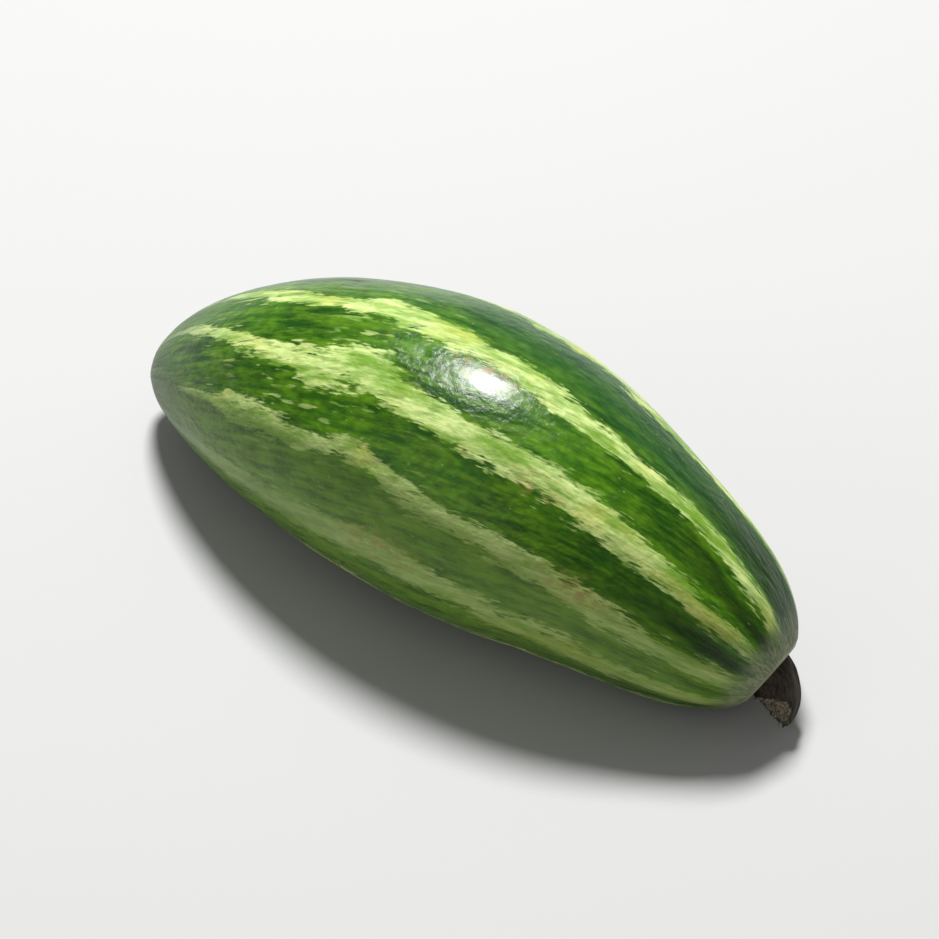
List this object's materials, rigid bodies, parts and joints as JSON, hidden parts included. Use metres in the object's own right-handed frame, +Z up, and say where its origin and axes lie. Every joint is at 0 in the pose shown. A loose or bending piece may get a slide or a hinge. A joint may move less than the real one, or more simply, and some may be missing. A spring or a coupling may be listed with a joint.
{
  "type": "pointed gourd",
  "caption": "Whole green pointed gourd with pale ragged stripes, arched back, blunt blossom end and short dry stub of stalk, lying on its flatter side.",
  "frame": {"origin": "middle of the whole gourd's box, on the surface it lies on", "axes": "+X along the fruit towards its stem end, +Z up through its arched back"},
  "size_m": [0.0914, 0.0354, 0.0351],
  "materials": {
    "skin": "gloss",
    "dry_stalk": "matte"
  },
  "bodies": {
    "root": {"fruit": "skin", "stem_stub": "dry_stalk"}
  },
  "joints": []
}
